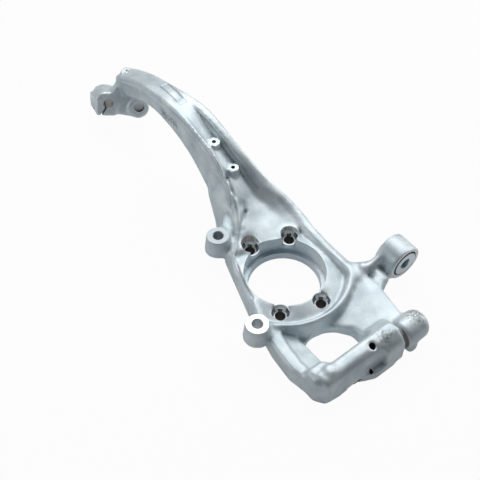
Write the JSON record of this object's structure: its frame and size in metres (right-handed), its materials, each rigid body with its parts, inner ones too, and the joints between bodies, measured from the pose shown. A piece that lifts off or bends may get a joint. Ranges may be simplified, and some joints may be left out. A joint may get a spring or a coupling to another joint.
{
  "type": "steering knuckle",
  "caption": "Cast aluminium steering knuckle with a bored hub seat, an arched neck up to a split head, caliper bosses, and a tie-rod arm with a pressed steel bush.",
  "frame": {"origin": "on the hub axis in the outboard hub face, which the part lies on", "axes": "+Z is the hub axis, pointing inboard and up as the part lies; +Y runs along the line through the two caliper bosses, toward the neck; +X points to the tie-rod arm"},
  "size_m": [0.3234, 0.5765, 0.1236],
  "materials": {
    "cast_aluminium": "as cast, fine grain, machined at the seats",
    "bush_steel": "zinc plated, turned faces"
  },
  "bodies": {
    "root": {"knuckle": "cast_aluminium", "tie_rod_bush": "bush_steel"}
  },
  "joints": []
}
